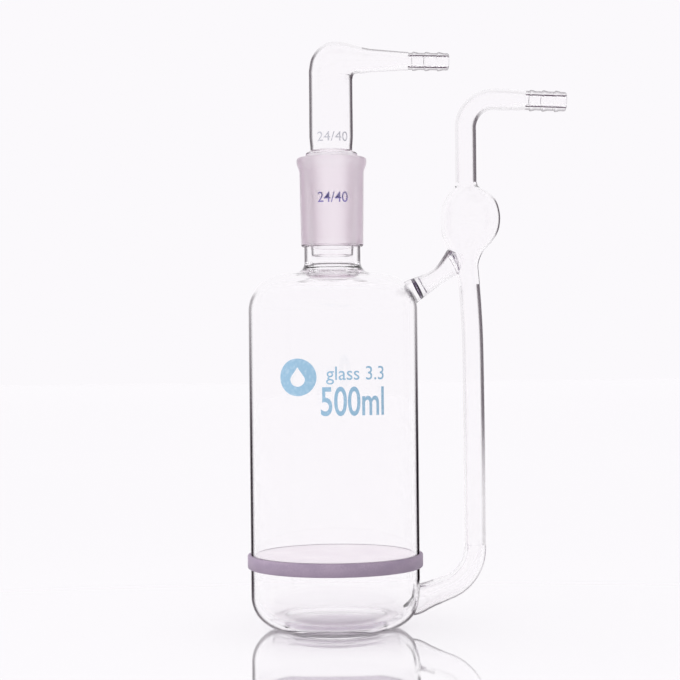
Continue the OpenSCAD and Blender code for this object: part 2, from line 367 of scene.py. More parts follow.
def sinter_finish(name, pale, deep, size, roughness, lift, shade=0.0):
    material, tree, shader = new_finish(name, pale[:3], roughness)
    grains = grain(tree, size, detail=4)
    blotch = grain(tree, 90, (1, 1, 3), detail=2)
    share = ramp(tree, times(tree, grains, blotch), 0.12, 0.42)
    place = put(tree, "ShaderNodeTexCoord").outputs["Object"]
    height = put(tree, "ShaderNodeSeparateXYZ", {0: place}).outputs["Z"]
    # Painted shade: towards the disc's lower edge the colour is darkened, by up to the
    # share shade.
    shade_below = ramp(tree, height, disc_low.z * MM, disc_high.z * MM, shade, 0)
    colour = mix_colour(tree, share, deep, pale)
    tree.links.new(
        mix_colour(tree, shade_below, colour, RIM_SHADE),
        shader.inputs["Base Color"])
    tree.links.new(
        ramp(tree, grains, 0.3, 0.7, roughness - 0.1, roughness + 0.08),
        shader.inputs["Roughness"])
    tree.links.new(
        raise_by(tree, grains, 0.0002, lift), shader.inputs["Normal"])
    return material


sinter_face = sinter_finish(
    "sintered_glass_face", (0.99, 0.955, 0.975, 1), (0.93, 0.88, 0.915, 1),
    1800, 0.9, 0.35)
# The rim, painted darker towards its lower edge as shade
sinter_rim = sinter_finish(
    "sintered_glass_rim", (0.39, 0.31, 0.405, 1), (0.315, 0.25, 0.34, 1),
    1300, 0.6, 0.25, 0.45)
# The underside: sandy grains like the face, painted greyer as shade
sinter_shaded_under = sinter_finish(
    "sintered_glass_shaded_under", (0.68, 0.61, 0.70, 1), (0.60, 0.53, 0.62, 1),
    1800, 0.9, 0.35)

# %% [markdown]
# ## Enamel
# The marks are fired enamel, a thin glossy skin. The grey one on the
# adapter is nearly worn away, which a paler, patchy colour shows.

# %% The enamel finishes
def enamel_finish(name, colour, worn, patch):
    material, tree, shader = new_finish(name, colour[:3], 0.35)
    wear = ramp(tree, grain(tree, patch, detail=4), 0.45, 0.75)
    tree.links.new(
        mix_colour(tree, wear, colour, worn), shader.inputs["Base Color"])
    tree.links.new(
        ramp(tree, wear, 0, 1, 0.3, 0.6), shader.inputs["Roughness"])
    return material


blue_enamel = enamel_finish(
    "enamel_blue", (0.29, 0.49, 0.65, 1), (0.41, 0.59, 0.73, 1), 700)
violet_enamel = enamel_finish(
    "enamel_violet", (0.20, 0.17, 0.42, 1), (0.33, 0.29, 0.52, 1), 900)
grey_enamel = enamel_finish(
    "enamel_grey", (0.50, 0.51, 0.55, 1), (0.78, 0.77, 0.80, 1), 900)

# %% [markdown]
# ## Drawing a half-section
# Straight glassware is turned: its half-section is drawn on the X-Z plane
# and spun about Z. The pen below draws a section with two operators. An
# extruded vertex makes a straight run and a turned vertex makes an arc. Each
# run remembers its finish, and the runs are welded once they are turned. The
# first three finishes mean the same on every clear piece. The others are for
# runs that are special to one piece.

# %% The section pen
OUTER, INNER, SEALED, EXTRA, SECOND, THIRD = range(6)


class Section:
    """A half-section in millimetres, with a finish for each run of it."""

    def __init__(self, x, z, finish=OUTER):
        self.bm = bmesh.new()
        self.first = Vector((x, 0, z))
        self.runs = []
        self.put_pen(self.first, finish)

    def put_pen(self, place, finish):
        """Starts a run with this finish at a place."""
        self.finish = finish
        self.tip = self.bm.verts.new(place)
        self.runs.append((finish, [self.tip], []))

    def use(self, finish):
        """Changes the finish, if another one is asked for."""
        if finish is not None and finish != self.finish:
            self.put_pen(self.tip.co.copy(), finish)

    def line(self, x, z, finish=None):
        """Draws straight to (x, z)."""
        self.use(finish)
        made = bmesh.ops.extrude_vert_indiv(self.bm, verts=[self.tip])
        self.tip = made["verts"][0]
        self.tip.co = (x, 0, z)
        self.runs[-1][1].append(self.tip)
        self.runs[-1][2].extend(made["edges"])
        return self

    def arc(self, x, z, degrees, steps=10, finish=None):
        """Turns the pen about (x, z), from +Z towards +X if positive."""
        self.use(finish)
        for _ in range(steps):
            made = bmesh.ops.extrude_vert_indiv(self.bm, verts=[self.tip])
            self.tip = made["verts"][0]
            bmesh.ops.rotate(
                self.bm, verts=[self.tip], cent=(x, 0, z),
                matrix=Matrix.Rotation(math.radians(degrees / steps), 3, "Y"))
            self.runs[-1][1].append(self.tip)
            self.runs[-1][2].extend(made["edges"])
        return self

    def close(self, finish=None):
        """Draws straight back to where the pen started."""
        return self.line(self.first.x, self.first.z, finish)

    def turn(self, steps=144):
        """Spins every run about Z and welds them into one closed skin."""
        for finish, verts, edges in self.runs:
            known = set(self.bm.faces)
            bmesh.ops.spin(
                self.bm, geom=verts + edges, cent=(0, 0, 0), axis=(0, 0, 1),
                angle=math.tau, steps=steps, use_merge=True)
            for face in self.bm.faces:
                if face not in known:
                    face.material_index = finish
        weld(self.bm)
        bmesh.ops.recalc_face_normals(self.bm, faces=self.bm.faces)
        return self.bm


def weld(bm, gap=1e-4):
    """Joins points that lie closer than the gap."""
    bmesh.ops.remove_doubles(bm, verts=bm.verts, dist=gap)
    bmesh.ops.dissolve_degenerate(bm, edges=bm.edges, dist=gap)


# %% [markdown]
# ## Drawing a tube
# Bends, the bulb and the flared mouth are rings drawn along a path. A ring
# starts as a circle, its edges are extruded, and the new ring is moved to
# the next place. A place says where the ring's middle is, how far the path
# leans there, and how large the ring is in the plane of the bend and across
# it. Catmull-Rom steps between the places keep the tube fair.

# %% The tube helpers
def fair(places, between=5):
    """More places on a smooth curve through the given ones."""
    ends = [places[0], *places, places[-1]]
    out = []
    for i in range(1, len(ends) - 2):
        a, b, c, d = (Vector(p) for p in ends[i - 1:i + 3])
        for k in range(between):
            t = k / between
            out.append(0.5 * (
                2 * b + (c - a) * t + (2 * a - 5 * b + 4 * c - d) * t * t
                + (3 * b - a - 3 * c + d) * t ** 3))
    return [tuple(v) for v in (*out, Vector(places[-1]))]


def ring_place(x, z, lean, high, wide=None):
    """Where a unit ring goes. lean is from +Z towards +X, in degrees."""
    return (
        Matrix.Translation((x, 0, z))
        @ Matrix.Rotation(math.radians(lean), 4, "Y")
        @ Matrix.Diagonal((high, high if wide is None else wide, 1, 1)))


def draw_skin(bm, places, finishes, sides=64):
    """Draws a ring along the places. Returns its first and last rings."""
    spots = [ring_place(*p) for p in places]
    bmesh.ops.create_circle(
        bm, cap_ends=False, segments=sides, radius=1, matrix=spots[0])
    first = edges = list(bm.edges)
    for before, after, finish in zip(spots, spots[1:], finishes):
        made = bmesh.ops.extrude_edge_only(bm, edges=edges)["geom"]
        verts = {g for g in made if isinstance(g, bmesh.types.BMVert)}
        edges = [g for g in made if isinstance(g, bmesh.types.BMEdge)
                 and all(v in verts for v in g.verts)]
        for face in (g for g in made if isinstance(g, bmesh.types.BMFace)):
            face.material_index = finish
        bmesh.ops.transform(
            bm, matrix=after @ before.inverted(), verts=list(verts))
    return first, edges


def cap(bm, ring):
    """Closes a ring with one sealed face."""
    for face in bmesh.ops.edgeloop_fill(bm, edges=ring)["faces"]:
        face.material_index = SEALED


def draw_tube(outside, inside, sides=64):
    """A tube with a wall: along the outside, back along the bore, closed."""
    bm = bmesh.new()
    draw_skin(bm, [*outside, *reversed(inside), outside[0]],
              [OUTER] * (len(outside) - 1) + [SEALED]
              + [INNER] * (len(inside) - 1) + [SEALED], sides)
    weld(bm, 1e-3)
    bmesh.ops.recalc_face_normals(bm, faces=bm.faces)
    return bm


def draw_bar(places, sides=64, finish=OUTER):
    """A closed solid bar along the places."""
    bm = bmesh.new()
    first, last = draw_skin(bm, places, [finish] * len(places), sides)
    cap(bm, first)
    cap(bm, last)
    bmesh.ops.recalc_face_normals(bm, faces=bm.faces)
    return bm


def thinner(places, wall):
    """The same places with the ring smaller by the wall."""
    return [(*p[:3], *(r - wall for r in p[3:])) for p in places]


# %% [markdown]
# ## Finishing a piece
# Each piece ends the same way: scale to metres, smooth shading with sharp
# creases kept, finishes into material slots, then onto its CAD body, in
# place of the CAD node that it stands for.

# %% The finishing helper
SHARP = math.radians(32)
CARVED_FINISHES = 5


def clear(outer, *others):
    """A clear piece's finishes, in the order of the section pen's names."""
    return [outer, inner_glass, sealed_glass, *others]


def finish_piece(bm, name, finishes, body, nodes=()):
    """Makes the piece from its drawing, faces outwards, and hands it over."""
    if bm.calc_volume(signed=True) < 0:
        bmesh.ops.reverse_faces(bm, faces=bm.faces)
    bmesh.ops.scale(bm, vec=(MM, MM, MM), verts=bm.verts)
    mesh = bpy.data.meshes.new(name)
    bm.to_mesh(mesh)
    bm.free()
    for finish in finishes:
        mesh.materials.append(finish)
    mesh.shade_smooth()
    mesh.set_sharp_from_angle(angle=SHARP)
    piece = bpy.data.objects.new(name, mesh)
    bpy.context.collection.objects.link(piece)
    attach(piece, body)
    if nodes:
        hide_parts(*nodes)
    size = [round(v / MM, 1) for v in piece.dimensions]
    print(name, "measures", size, "mm,", len(mesh.polygons), "faces")
    return piece


def carve(bm, cutter, operation="DIFFERENCE"):
    """Cuts or joins one closed solid with another, by a Boolean modifier.

    Both blanks hold enough finishes for every face to keep its own.
    """
    pair = []
    for part in (bm, cutter):
        mesh = bpy.data.meshes.new("blank")
        part.to_mesh(mesh)
        part.free()
        for _ in range(CARVED_FINISHES):
            mesh.materials.append(sealed_glass)
        pair.append(bpy.data.objects.new("blank", mesh))
        bpy.context.collection.objects.link(pair[-1])
    tool = pair[0].modifiers.new("carve", "BOOLEAN")
    tool.operation, tool.object, tool.solver = operation, pair[1], "EXACT"
    shaped = pair[0].evaluated_get(bpy.context.evaluated_depsgraph_get())
    out = bmesh.new()
    out.from_mesh(shaped.to_mesh())
    shaped.to_mesh_clear()
    for blank in pair:
        mesh = blank.data
        bpy.data.objects.remove(blank)
        bpy.data.meshes.remove(mesh)
    weld(out)
    return out


# %% [markdown]
# ## The sintered disc
# A flat turned disc whose rim stands a little proud of the wall. The rim's
# two edges are bevelled, because they were softened by the flame. The rim,
# the upper face and the underside take different finishes. A gap of a few
# hundredths keeps the glass above and below from sharing a surface with it.

# %% Turn the disc
WALL = 2.2
GAP = 0.02
RIM, FACE, UNDERSIDE = range(3)
inner_r = body_r - WALL
disc = Section(0, disc_low.z, UNDERSIDE)
disc.line(inner_r - 0.4, disc_low.z).line(disc_high.x, disc_low.z, RIM)
disc.line(disc_high.x, disc_high.z).line(body_r - 0.1, disc_high.z)
disc.line(0, disc_high.z, FACE)
disc = disc.turn(160)
rim_edges = [
    e for e in disc.edges
    if all(math.hypot(v.co.x, v.co.y) > disc_high.x - 0.01 for v in e.verts)
    and abs(e.verts[0].co.z - e.verts[1].co.z) < 0.01]
bmesh.ops.bevel(
    disc, geom=rim_edges, offset=0.75, segments=4, profile=0.5,
    affect="EDGES", material=-1)
finish_piece(disc, "sintered_disc", [sinter_rim, sinter_face, sinter_shaded_under],
             "bottle", ["frit_disc"])

# %% [markdown]
# ## The body
# One tube, closed in over the disc, with a round shoulder that runs into
# the neck through a flare. Inside, where the neck was sealed on, a low bead
# of glass is left all round. Its edges show as dark lines across the neck's
# foot, painted as shade by the bead's finish.

# %% Turn the body
SHOULDER_R = 17
FLARE_R = 5
shoulder_x = body_r - SHOULDER_R
shoulder_z = 147
neck_r = neck_high.x
bore_r = neck_r - WALL
flare_z = neck_low.z
body = Section(body_r, disc_high.z + GAP)
body.line(body_r, 60).line(body_r, 100).line(body_r, shoulder_z)
body.arc(shoulder_x, shoulder_z, -84, 24)
body.line(neck_r + FLARE_R, flare_z - FLARE_R)
body.arc(neck_r + FLARE_R, flare_z, 90, 10)
body.line(bore_r, flare_z, SEALED)
body.line(bore_r, flare_z - 1.9, INNER)
body.line(bore_r - 0.25, flare_z - 2.5).line(bore_r - 1.0, flare_z - 3.3)
body.arc(bore_r - 0.3, flare_z - 4.6, -130, 8, EXTRA)
body.line(bore_r + 1.5, flare_z - 6.7)
body.line(bore_r + 3.6, flare_z - 7.3, INNER).line(shoulder_x + 1.4, 161.75)
body.arc(shoulder_x, shoulder_z, 84.6, 24)
body.line(inner_r, disc_high.z + GAP)
body.close(SEALED)
finish_piece(body.turn(160), "bottle_body",
             clear(body_glass, bead_glass),
             "bottle", ["reservoir"])

# %% [markdown]
# ## The base
# The floor is pushed up in the middle, so that the bottle stands on a ring
# and does not rock. The gas inlet is sealed into the corner: the hole is
# pulled out into a flared mouth, and the tube is welded to it. So the outer
# shapes of cup and mouth are joined first, and then one cavity for the gas
# is cut through both.

# %% Turn the cup, draw the mouth, and cut the cavity
CORNER_R = 15.0
FOOT_IN_R = 24.0
PUSH_UP = 2.8
FLOOR = 3.6
corner_x = body_r - CORNER_R
dome = (FOOT_IN_R ** 2 + PUSH_UP ** 2) / (2 * PUSH_UP)
dome_turn = math.degrees(math.asin(FOOT_IN_R / dome))
cup_top = disc_low.z - GAP

cup = Section(0, PUSH_UP)
cup.arc(0, PUSH_UP - dome, dome_turn, 14).line(corner_x, 0.0)
cup.arc(corner_x, CORNER_R, -90, 20)
cup.line(body_r, cup_top).line(0, cup_top, SEALED)

IN_CORNER_R = CORNER_R - 2.5
cavity = Section(0, PUSH_UP + FLOOR, INNER)
cavity.arc(0, PUSH_UP - dome, dome_turn * 0.98, 14)
cavity.line(inner_r - IN_CORNER_R, FLOOR)
cavity.arc(inner_r - IN_CORNER_R, FLOOR + IN_CORNER_R, -90, 20, EXTRA)
cavity.line(inner_r, cup_top + 1, INNER).line(0, cup_top + 1)

# The inlet's last length, which leans down towards the bottle
stub_x, stub_z, stub_lean = 50.92, 17.59, 250
SEAM_AT = 4.0


def on_stub(along, radius):
    """A ring on the stub's axis, so far from where the bend ends."""
    turn = math.radians(stub_lean)
    return (stub_x + along * math.sin(turn), stub_z + along * math.cos(turn),
            stub_lean, radius)


MOUTH = [(4, 5.85), (7, 5.95), (10, 6.3), (13, 6.8), (16, 6.9), (18.5, 6.4)]
mouth = draw_bar(fair([on_stub(a, r) for a, r in MOUTH], 3), finish=SECOND)
THROAT = [(2, 3.75), (4, 3.95), (7, 4.1), (10, 4.5), (13, 5.0), (17, 5.4), (21, 5.2)]
throat = draw_bar(fair([on_stub(a, r) for a, r in THROAT], 3), finish=INNER)
base = carve(cup.turn(128), mouth, "UNION")
base = carve(base, cavity.turn(128))
base = carve(base, throat)
finish_piece(base, "base_cup",
             clear(cup_glass, corner_glass, mouth_glass),
             "bottle", ["base_cup"])

# %% [markdown]
# ## The inlet's lower run
# A short flared piece meets the mouth, then one bend of a quarter turn or
# so, then the long riser. Glass thickens a little where it was bent, and
# the riser leans in slightly near the top, where it was sealed to the bulb.

# %% Draw the port, the bend and the riser
TUBE_WALL = 1.4
port = [on_stub(a, r) for a, r in ((0, 5.6), (2, 5.7), (SEAM_AT, 5.85))]
port_bore = [on_stub(a, r) for a, r in ((0, 3.7), (2, 3.75), (SEAM_AT, 3.95))]
finish_piece(draw_tube(port, port_bore), "gas_port",
             clear(bend_glass), "bottle", ["gas_port"])

BEND_R = 21.4
THICKER = 0.5
bend_x, bend_z = riser_x - BEND_R, riser_low.z
bend = []
for step in range(15):
    share = step / 14
    turn = math.radians(70 * share)
    reach = BEND_R + 0.35 * math.sin(math.pi * share)
    bend.append((bend_x + reach * math.cos(turn), bend_z - reach * math.sin(turn),
                 180 + 70 * share, tube_r + 0.6 * share))
finish_piece(draw_tube(bend, thinner(bend, TUBE_WALL + THICKER)),
             "inlet_bend", clear(bend_glass),
             "bottle", ["inlet_bend"])

top_lean = 1.6
riser = fair([
    (riser_x, riser_low.z, 0, tube_r), (riser_x + 0.1, 70, 0, tube_r),
    (riser_x, 105, 0, tube_r), (riser_x - 0.25, 132, -0.8, tube_r),
    (riser_x - 0.9, 148, -3.6, tube_r),
    (riser_x - top_lean, riser_high.z, -5.2, tube_r)], 6)
finish_piece(draw_tube(riser, thinner(riser, TUBE_WALL)),
             "riser_tube", clear(tube_glass),
             "bottle", ["riser_tube"])

# %% [markdown]
# ## The safety bulb
# Blown from the same tube. It is a little fuller on the far side from the
# bottle, and its lower neck is drawn over towards the brace that holds it.

# %% Draw the bulb
BULB = [
    (riser_x - top_lean, bulb_low.z, -5.2, tube_r),
    (63.1, 161.4, -5.5, 5.05), (62.75, 163.7, -6, 5.2),
    (62.2, 166.9, -4, 5.55), (61.9, 169.7, 0, 6.3), (61.7, 172.5, 2, 7.5),
    (61.9, 174.8, 4, 8.6), (62.4, 176.9, 5, 9.9), (63.0, 179.2, 4, 11.3),
    (63.6, 182.0, 3, 12.7), (64.1, 185.3, 2, 13.55), (64.3, 189.3, 0, 13.85),
    (64.2, 193.2, -2, 13.45), (64.0, 197.2, -3, 12.1), (63.5, 200.3, -3, 9.8),
    (63.0, 202.2, -3, 7.8), (62.55, 204.1, 0, 5.7), (top_x, bulb_high.z, 0, tube_r)]
bulb = fair(BULB, 4)
bulb_in = [(*p[:3], max(3.6, p[3] - 1.25)) for p in bulb]
finish_piece(draw_tube(bulb, bulb_in, 72), "safety_bulb",
             clear(bulb_glass), "bottle", ["safety_bulb"])

# %% [markdown]
# ## The inlet's upper run
# A straight tube, a bend that turns it level, and an arm that narrows to
# the hose barb. The arm slopes down a little.

# %% Draw the upper tube, the bend and the arm
top_run = [(top_x, z, 0, tube_r) for z in (top_low.z, 214, 222, top_high.z)]
finish_piece(draw_tube(top_run, thinner(top_run, TUBE_WALL)), "inlet_tube",
             clear(tube_glass), "bottle", ["inlet_tube"])

TOP_BEND_R = 14.3
INLET_SLOPE = 2.5
elbow_x, elbow_z = top_x + TOP_BEND_R, top_high.z
elbow = []
for step in range(15):
    share = step / 14
    turn = math.radians((90 + INLET_SLOPE) * share)
    reach = TOP_BEND_R + 0.5 * math.sin(math.pi * share)
    elbow.append((elbow_x - reach * math.cos(turn), elbow_z + reach * math.sin(turn),
                  (90 + INLET_SLOPE) * share, tube_r))
finish_piece(draw_tube(elbow, thinner(elbow, TUBE_WALL)), "inlet_elbow",
             clear(tube_glass), "bottle", ["inlet_elbow"])

arm_start = elbow[-1]
ARM_L = 13
BARB_BORE = 2.0


def on_inlet(along, radius):
    """A ring on the inlet arm's axis, so far from the bend's end."""
    lean = math.radians(90 + INLET_SLOPE)
    return (arm_start[0] + along * math.sin(lean),
            arm_start[1] + along * math.cos(lean), 90 + INLET_SLOPE, radius)


arm = [on_inlet(a, r) for a, r in (
    (0, tube_r), (4, tube_r - 0.02), (8, 4.9), (11, 4.7), (ARM_L, 4.6))]
arm_bore = [on_inlet(a, r) for a, r in (
    (0, tube_r - TUBE_WALL), (5, 3.5), (8, 3.0), (11, 2.3), (ARM_L, BARB_BORE))]
finish_piece(draw_tube(arm, arm_bore), "inlet_arm",
             clear(tube_glass), "bottle", ["inlet_arm"])

# %% [markdown]
# ## The hose barbs
# Both barbs are the same turned shape in two sizes: three ridges, steep
# towards the glass and sloping towards the tip, so that a hose slides on
# and grips. The ridges are fire-polished, so their edges are bevelled.

# %% Turn a barb and put it on its arm
PITCH, RIDGE_H, LAND, BARB_L = 5.8, 0.45, 0.8, 19.0


def turn_barb(crest, place):
    """A barb whose ridges reach the crest's radius, put at a place."""
    root = crest - RIDGE_H
    barb = Section(BARB_BORE, 0, SEALED).line(root, 0).line(root, 1.4, OUTER)
    for ridge in range(3):
        z = 2.6 + ridge * PITCH
        barb.line(root, z - LAND / 2 - 0.35).line(crest, z - LAND / 2)
        barb.line(crest, z + LAND / 2).line(root, z + LAND / 2 + 1.7)
    barb.line(root, BARB_L - 0.9).arc(root - 0.9, BARB_L - 0.9, -90, 5)
    barb.line(BARB_BORE + 0.3, BARB_L).line(BARB_BORE, BARB_L - 0.4)
    barb.close(INNER)
    bm = barb.turn(72)
    creases = [e for e in bm.edges if len(e.link_faces) == 2
               and all(f.material_index == OUTER for f in e.link_faces)
               and 0.25 < e.calc_face_angle() < 1.3]
    bmesh.ops.bevel(bm, geom=creases, offset=0.12, segments=2, profile=0.5,
                    affect="EDGES", material=-1)
    bmesh.ops.transform(bm, matrix=ring_place(*place, 1), verts=bm.verts)
    return bm


inlet_crest = 4.9
barb_at = on_inlet(ARM_L, 1)[:3]
finish_piece(turn_barb(inlet_crest, barb_at), "inlet_barb",
             [barb_glass, bore_glass, sealed_glass], "bottle", ["inlet_barb"])

# %% [markdown]
# ## The brace
# A short hollow strut between the shoulder and the bulb takes the weight
# off the long riser. It is waisted, and solid where it meets the shoulder,
# which shows as a dark ring, painted as shade. Its two ends are cut to the
# shapes that they are welded to, with the same shapes grown by a hair.

# %% Draw the brace and cut its ends
HAIR = 0.03
BRACE = fair([
    (34.5, 154.2, 64, 6.1), (38.6, 156.6, 62, 5.35), (41.5, 158.2, 61, 4.75),
    (45.5, 160.4, 60, 4.15), (49.5, 163.0, 56, 4.05), (53.0, 165.9, 50, 4.7),
    (56.4, 168.9, 46, 5.9), (60.0, 172.0, 46, 7.2)], 4)
brace = draw_bar(BRACE)
keep_out = Section(0, 140).line(body_r + HAIR, 140, SEALED)
keep_out.line(body_r + HAIR, shoulder_z)
keep_out.arc(shoulder_x, shoulder_z, -84, 24)
keep_out.line(0, shoulder_z + SHOULDER_R + HAIR)
brace = carve(brace, keep_out.turn(160))
brace = carve(brace, draw_bar(thinner(bulb, -HAIR), 72, SECOND))
HOLLOW = fair([
    (41.4, 158.1, 61, 1.6), (41.7, 158.3, 61, 2.9), (45.5, 160.4, 60, 2.75),
    (49.5, 163.0, 56, 2.7), (52.6, 165.6, 50, 3.2), (54.0, 166.8, 48, 3.3)], 4)
brace = carve(brace, draw_bar(HOLLOW, 48, INNER))
bubble = bmesh.new()
bmesh.ops.create_uvsphere(
    bubble, u_segments=48, v_segments=24, radius=1,
    matrix=ring_place(39.1, 156.7, 64, 4.95) @ Matrix.Scale(1.05, 4, (0, 0, 1)))
for face in bubble.faces:
    face.material_index = EXTRA
brace = carve(brace, bubble)
finish_piece(brace, "brace",
             clear(brace_glass, weld_glass, seam_glass),
             "bottle", ["brace"])

# %% [markdown]
# ## The neck and the ground socket
# A short plain neck carries the socket. The socket is thick clear glass
# outside with a rolled rim, and a ground taper of one in ten inside.

# %% Turn the neck and the socket
neck = Section(neck_r, neck_low.z).line(neck_r, neck_high.z)
neck.line(bore_r, neck_high.z, SEALED).line(bore_r, neck_low.z, INNER)
neck.close(SEALED)
finish_piece(neck.turn(128), "neck_tube",
             clear(neck_glass), "bottle", ["neck_tube"])

RIM_H = 6.6
joint_top = socket_high.z
rim_r = socket_high.x
ground_z = socket_low.z + 1.4
socket = Section(bore_r, socket_low.z, SEALED).line(neck_r, socket_low.z)
socket.line(13.4, socket_low.z, EXTRA)
socket.arc(13.4, socket_low.z + 1, -90, 5)
socket.line(14.9, joint_top - RIM_H, OUTER).line(15.05, joint_top - RIM_H + 0.8)
socket.line(rim_r - 0.25, joint_top - 3.4).line(rim_r, joint_top - 2.4)
socket.line(rim_r, joint_top - 1.1).arc(rim_r - 1.1, joint_top - 1.1, -90, 6)
socket.line(12.5, joint_top).line(12, joint_top - 0.4)
socket.line(10, ground_z, SECOND).close(INNER)
socket_glass = edge_glass("clear_glass_socket", 0.06, 0.16, (0.6, 0.6), (0.3, 0.3),
                          edge=(0.35, 0.27, 0.33, 1), rough=0.34)
finish_piece(socket.turn(128), "ground_socket",
             clear(socket_glass, step_glass, ground_inner),
             "bottle", ["ground_socket"])

# %% [markdown]
# ## The adapter's ground cone
# It follows the socket's taper with a hair of play, and stands out of it at
# both ends. Only the part in the socket is ground. The tail is left clear.

# %% Turn the cone
PLAY = 0.08
GROUND_FROM, GROUND_TO = 179.6, 219.6


def cone_r(z):
    """The cone's radius at a height: it narrows by one in twenty."""
    return 12 - PLAY - (joint_top - z) / 20


TUBE_IN = 8.7
cone = Section(cone_r(cone_low.z) - 1.6, cone_low.z + 0.3, EXTRA)
cone.line(cone_r(cone_low.z) - 1.3, cone_low.z)
cone.line(cone_r(cone_low.z) - 0.4, cone_low.z)
cone.line(cone_r(cone_low.z), cone_low.z + 0.4)
cone.line(cone_r(GROUND_FROM), GROUND_FROM, SECOND)
cone.line(cone_r(GROUND_TO), GROUND_TO, OUTER)
cone.arc(cone_r(GROUND_TO) - 1.0, GROUND_TO, -70, 5, THIRD).line(9.95, cone_high.z)
cone.line(TUBE_IN, cone_high.z, SEALED).line(TUBE_IN, joint_top, INNER).close()
finish_piece(cone.turn(128), "adapter_cone",
             clear(ground_outer, step_glass, neck_glass, adapter_glass),
             "adapter_joint", ["adapter_cone"])

# %% [markdown]
# ## The adapter's tube and elbow
# The tube ends in a round dome, and the outlet arm leaves its side. The
# elbow is rings that swing round the tight inner corner, round at both ends
# and following the dome between.

# %% Draw the tube, the elbow and the arm
adapter_r = tube_high.x
adapter = Section(TUBE_IN, tube_low.z, SEALED).line(9.75, tube_low.z)
adapter.line(9.75, tube_low.z + 1.6, OUTER).line(9.85, tube_low.z + 2.6)
adapter.line(adapter_r, tube_low.z + 6).line(adapter_r, 243)
adapter.line(adapter_r, tube_high.z)
adapter.line(TUBE_IN, tube_high.z, SEALED).close(INNER)
finish_piece(adapter.turn(96), "adapter_tube",
             clear(adapter_glass),
             "outlet_adapter", ["adapter_tube"])

ARM_SLOPE = 1.5
ELBOW_WALL = 1.45
arm_z = 263.6
arm_x = 14.5
arm_end_x = 36


def on_outlet(along, radius):
    """A ring on the outlet arm's axis, so far from the adapter's axis."""
    lean = math.radians(90 + ARM_SLOPE)
    return (along * math.sin(lean), arm_z + along * math.cos(lean),
            90 + ARM_SLOPE, radius, radius)


def swing(inner, outer, wide):
    """A ring through an inner and an outer point of the elbow's outline."""
    (xi, zi), (xo, zo) = inner, outer
    lean = math.degrees(math.atan2(zo - zi, xi - xo))
    return ((xi + xo) / 2, (zi + zo) / 2, lean,
            math.hypot(xi - xo, zi - zo) / 2, wide)


elbow_places = fair([
    (0, tube_high.z, 0, adapter_r, adapter_r),
    swing((10.25, 255.0), (-10.0, 259.4), 10.15),
    swing((10.45, 255.9), (-8.9, 264.4), 10.1),
    swing((10.85, 256.6), (-5.6, 269.0), 9.7),
    swing((11.4, 257.05), (-0.6, 271.7), 9.2),
    swing((12.1, 257.25), (5.2, 271.7), 8.3),
    swing((12.9, 257.3), (10.6, 270.4), 7.0),
    on_outlet(arm_x, 6.1)], 4)
finish_piece(draw_tube(elbow_places, thinner(elbow_places, ELBOW_WALL), 80),
             "adapter_elbow", clear(adapter_glass),
             "outlet_adapter", ["adapter_elbow"])

outlet = fair([on_outlet(a, r) for a, r in (
    (arm_x, 6.1), (18, 5.45), (22, 5.15), (28, 4.75), (33, 4.4), (arm_end_x, 4.25))], 3)
outlet_bore = fair([on_outlet(a, r) for a, r in (
    (arm_x, 4.65), (20, 4.0), (27, 3.4), (32, 2.5), (arm_end_x, BARB_BORE))], 3)
finish_piece(draw_tube(outlet, outlet_bore), "adapter_arm", clear(outlet_glass),
             "outlet_adapter", ["adapter_arm"])
outlet_crest = 4.4
finish_piece(turn_barb(outlet_crest, on_outlet(arm_end_x, 1)[:3]), "adapter_barb",
             [barb_glass, bore_glass, sealed_glass],
             "outlet_adapter", ["adapter_barb"])

# %% [markdown]
# ## The enamel marks
# Each mark is flat lettering or a flat shape, given a hair of thickness,
# sliced into narrow strips so that it can bend, and wrapped onto its tube.

# %% Flat marks and how they wrap
SKIN = 0.03
STRIP = 0.6


def lettering(text, bolder=0.12):
    """Flat letters as a mesh, from the font that comes with Blender."""
    curve = bpy.data.curves.new("letters", "FONT")
    curve.body, curve.size, curve.extrude = text, 10, SKIN / 2
    curve.offset = bolder
    letters = bpy.data.objects.new("letters", curve)
    bpy.context.collection.objects.link(letters)
    shaped = letters.evaluated_get(bpy.context.evaluated_depsgraph_get())
    bm = bmesh.new()
    bm.from_mesh(shaped.to_mesh())
    shaped.to_mesh_clear()
    bpy.data.objects.remove(letters)
    bpy.data.curves.remove(curve)
    weld(bm)
    bmesh.ops.recalc_face_normals(bm, faces=bm.faces)
    return bm


def drop_disc(radius):
    """A plain disc with a drop left clear in the middle."""
    bm = bmesh.new()
    bmesh.ops.create_circle(bm, segments=64, radius=radius)
    drop = bmesh.ops.create_circle(bm, segments=40, radius=radius * 0.40)["verts"]
    tip = radius * 0.62
    for v in drop:
        rise = max(0.0, v.co.y / (radius * 0.40))
        v.co.x *= 1 - 0.72 * rise ** 1.6
        v.co.y += rise ** 2 * (tip - radius * 0.40) - radius * 0.10
    bmesh.ops.triangle_fill(bm, edges=list(bm.edges), use_beauty=True)
    made = bmesh.ops.extrude_face_region(bm, geom=list(bm.faces))["geom"]
    top = [g for g in made if isinstance(g, bmesh.types.BMVert)]
    bmesh.ops.translate(bm, vec=(0, 0, SKIN), verts=top)
    bmesh.ops.recalc_face_normals(bm, faces=bm.faces)
    return bm


